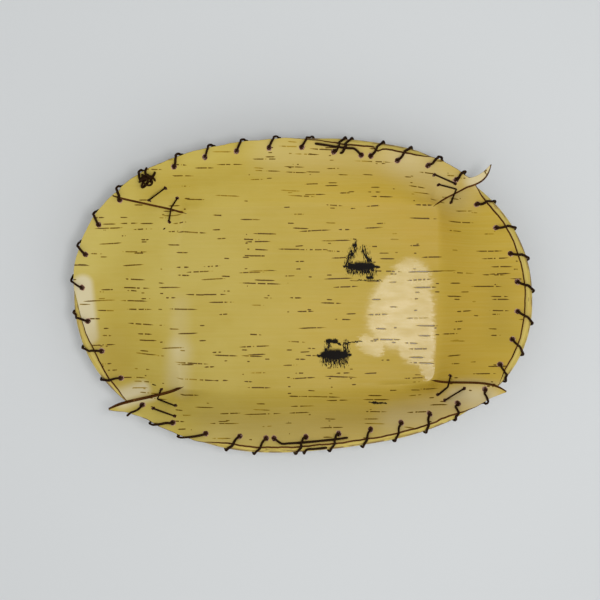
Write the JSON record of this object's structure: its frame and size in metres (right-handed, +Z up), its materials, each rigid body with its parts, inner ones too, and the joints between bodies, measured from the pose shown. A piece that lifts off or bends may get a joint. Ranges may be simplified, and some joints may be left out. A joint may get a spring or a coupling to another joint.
{
  "type": "bark tray",
  "caption": "Shallow oval tray folded from one sheet of birch bark, with lapped stitched corners and a bent withe hoop whipped to the rim with split root.",
  "frame": {"origin": "on the table, under the middle of the rim", "axes": "+X along the tray's length, +Y across it, +Z up out of the open side"},
  "size_m": [0.401, 0.2768, 0.057],
  "materials": {
    "bark": "golden inner birch bark with brown lenticel dashes, glossy",
    "withe": "split peeled withe, pale yellow, satin",
    "root": "split root, dark brown, satin"
  },
  "bodies": {
    "root": {"bark_sheet": "bark", "rim_hoop_left": "withe", "rim_hoop_right": "withe", "rim_lashing_a": "root", "rim_lashing_b": "root", "rim_lashing_c": "root", "corner_stitch_1": "root", "corner_stitch_2": "root", "corner_stitch_3": "root", "corner_stitch_4": "root"}
  },
  "joints": []
}
